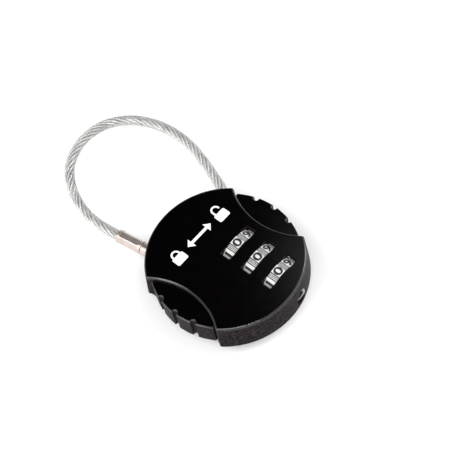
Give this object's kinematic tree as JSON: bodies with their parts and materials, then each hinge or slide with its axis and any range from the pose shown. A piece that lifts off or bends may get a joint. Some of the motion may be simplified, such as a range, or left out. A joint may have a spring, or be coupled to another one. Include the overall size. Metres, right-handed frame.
{
  "type": "combination padlock",
  "caption": "Round combination cable padlock with rotating dials, a pull-out ferrule and a loop of clear-jacketed steel cable.",
  "frame": {"origin": "middle of the flat back face", "axes": "+Z out of the front face, +Y towards the cable, +X to the right as the face is read"},
  "size_m": [0.0475, 0.0879, 0.0156],
  "materials": {
    "housing_plastic": "glossy face, satin sides",
    "grip_plastic": "satin with glossy top",
    "dial_plastic": "satin silver",
    "steel": "plated",
    "spring_steel": "drawn wire",
    "brass": "turned",
    "nickel_silver": "satin plated",
    "wire_rope": "stranded",
    "clear_vinyl": "clear"
  },
  "bodies": {
    "case": {"front_housing": "housing_plastic", "left_grip": "grip_plastic", "right_grip": "grip_plastic", "back_cover": "housing_plastic", "cover_pins": "steel", "latch_pivot_pin": "steel", "latch_spring": "spring_steel", "reset_spring": "spring_steel", "detent_spring": "spring_steel", "detent_rivets": "brass", "pin_bushing": "steel", "cable_core": "wire_rope", "cable_jacket": "clear_vinyl", "anchor_sleeve": "nickel_silver", "anchor_clip": "steel"},
    "dial_1": {"dial_wheel_1": "dial_plastic"},
    "sleeve_1": {"clutch_sleeve_1": "brass"},
    "dial_2": {"dial_wheel_2": "dial_plastic"},
    "sleeve_2": {"clutch_sleeve_2": "brass"},
    "dial_3": {"dial_wheel_3": "dial_plastic"},
    "sleeve_3": {"clutch_sleeve_3": "brass"},
    "reset": {"reset_button": "steel"},
    "spindle": {"locking_spindle": "steel"},
    "latch": {"latch_lever": "steel"},
    "cable_end": {"lock_pin": "nickel_silver", "ferrule": "nickel_silver"}
  },
  "joints": [
    {"name": "dial_1_turn", "type": "hinge", "parent": "case", "child": "dial_1", "pos_m": [0.0057, 0, 0.0087], "axis": [0, 1, 0], "continuous": true},
    {"name": "sleeve_1_turn", "type": "hinge", "parent": "reset", "child": "sleeve_1", "pos_m": [0.0057, 0, 0.0087], "axis": [0, 1, 0], "continuous": true},
    {"name": "dial_2_turn", "type": "hinge", "parent": "case", "child": "dial_2", "pos_m": [0.0057, -0.0074, 0.0087], "axis": [0, 1, 0], "continuous": true},
    {"name": "sleeve_2_turn", "type": "hinge", "parent": "reset", "child": "sleeve_2", "pos_m": [0.0057, -0.0074, 0.0087], "axis": [0, 1, 0], "continuous": true},
    {"name": "dial_3_turn", "type": "hinge", "parent": "case", "child": "dial_3", "pos_m": [0.0057, -0.0148, 0.0087], "axis": [0, 1, 0], "continuous": true},
    {"name": "sleeve_3_turn", "type": "hinge", "parent": "reset", "child": "sleeve_3", "pos_m": [0.0057, -0.0148, 0.0087], "axis": [0, 1, 0], "continuous": true},
    {"name": "reset_push", "type": "slide", "parent": "case", "child": "reset", "axis": [0, 1, 0], "range_m": [0, 0.0013], "stiffness_N_per_m": 700, "springref_m": -0.002, "deforming": ["reset_spring"]},
    {"name": "ferrule_pull", "type": "slide", "parent": "case", "child": "cable_end", "axis": [-0.1478, 0.989, 0], "range_m": [0, 0.014], "deforming": ["cable_core", "cable_jacket"]},
    {"name": "latch_swing", "type": "hinge", "parent": "case", "child": "latch", "pos_m": [-0.003, 0.0099, 0.0087], "axis": [0, 0, -1], "range_deg": [0, 19.48], "deforming": ["latch_spring"]},
    {"name": "spindle_slide", "type": "slide", "parent": "case", "child": "spindle", "axis": [0, -1, 0], "range_m": [0, 0.0025]}
  ],
  "couplings": [
    {"joint": "sleeve_1_turn", "follows": "dial_1_turn", "ratio": 1},
    {"joint": "sleeve_2_turn", "follows": "dial_2_turn", "ratio": 1},
    {"joint": "sleeve_3_turn", "follows": "dial_3_turn", "ratio": 1},
    {"joint": "latch_swing", "follows": "ferrule_pull", "rad_per_m": 24.227},
    {"joint": "spindle_slide", "follows": "ferrule_pull", "ratio": 0.17857}
  ]
}
